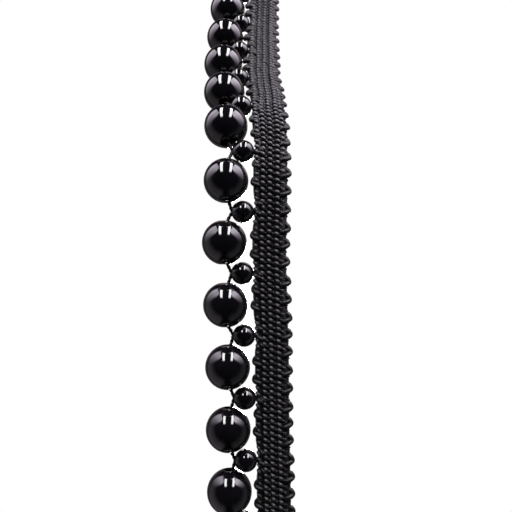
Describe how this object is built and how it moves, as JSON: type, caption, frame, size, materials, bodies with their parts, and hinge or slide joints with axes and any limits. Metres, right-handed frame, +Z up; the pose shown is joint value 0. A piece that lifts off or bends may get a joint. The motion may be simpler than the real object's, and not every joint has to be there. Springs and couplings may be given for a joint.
{
  "type": "bead trim on picot braid",
  "caption": "Hanging length of narrow black picot-edged braid with large glossy round beads and small tie beads threaded along one edge, for sewing to a hem or seam.",
  "frame": {"origin": "middle of the braid's top edge, where the trim is held", "axes": "+Z up, +X to the right of the braid's face, -Y out of the face of the plumb stretch"},
  "size_m": [0.0181, 0.042, 0.1171],
  "materials": {
    "bead": "pearl-coated black plastic, high gloss",
    "braid": "knitted black polyester yarn with a soft sheen",
    "thread": "twisted black polyester thread"
  },
  "bodies": {
    "root": {"braid": "braid", "bead_thread": "thread", "large_bead_01": "bead", "large_bead_02": "bead", "large_bead_03": "bead", "large_bead_04": "bead", "large_bead_05": "bead", "large_bead_06": "bead", "large_bead_07": "bead", "large_bead_08": "bead", "large_bead_09": "bead", "large_bead_10": "bead", "large_bead_11": "bead", "small_bead_01": "bead", "small_bead_02": "bead", "small_bead_03": "bead", "small_bead_04": "bead", "small_bead_05": "bead", "small_bead_06": "bead", "small_bead_07": "bead", "small_bead_08": "bead", "small_bead_09": "bead", "small_bead_10": "bead", "small_bead_11": "bead", "small_bead_12": "bead"}
  },
  "joints": []
}
